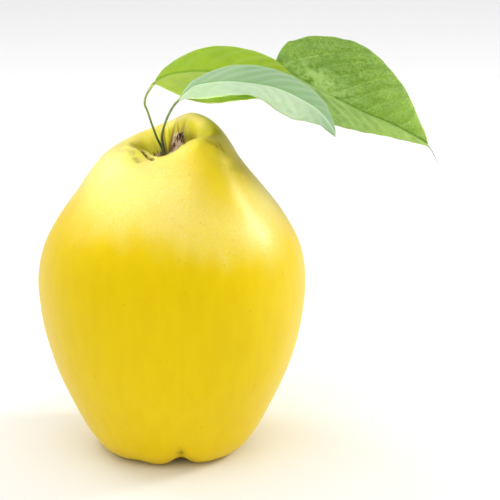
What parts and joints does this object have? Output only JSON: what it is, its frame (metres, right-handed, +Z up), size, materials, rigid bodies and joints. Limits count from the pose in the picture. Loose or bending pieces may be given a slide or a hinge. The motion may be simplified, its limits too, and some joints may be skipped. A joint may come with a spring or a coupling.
{
  "type": "quince",
  "caption": "Ripe pear-shaped quince standing on its lobed base, with a deep stalk cavity, a woody stalk stub, stalked leaves arching over its shoulder and a dried calyx below.",
  "frame": {"origin": "on the table, under the middle of the whole outline with its leaves", "axes": "+Z up along the fruit's axis towards the stalk; the front of the fruit, with the notch in its base, faces -Y; the leaves reach out towards +X"},
  "size_m": [0.1314, 0.0874, 0.1306],
  "materials": {
    "skin": "satin, slightly waxy",
    "twig": "matte, rough",
    "leaf_yellow_green": "satin",
    "leaf_pale_green": "matte, downy",
    "leaf_mid_green": "satin",
    "dry_sepal": "matte, dry"
  },
  "bodies": {
    "root": {"fruit": "skin", "stalk": "twig", "leaf_left": "leaf_yellow_green", "leaf_front": "leaf_pale_green", "leaf_back": "leaf_mid_green", "calyx": "dry_sepal"}
  },
  "joints": []
}
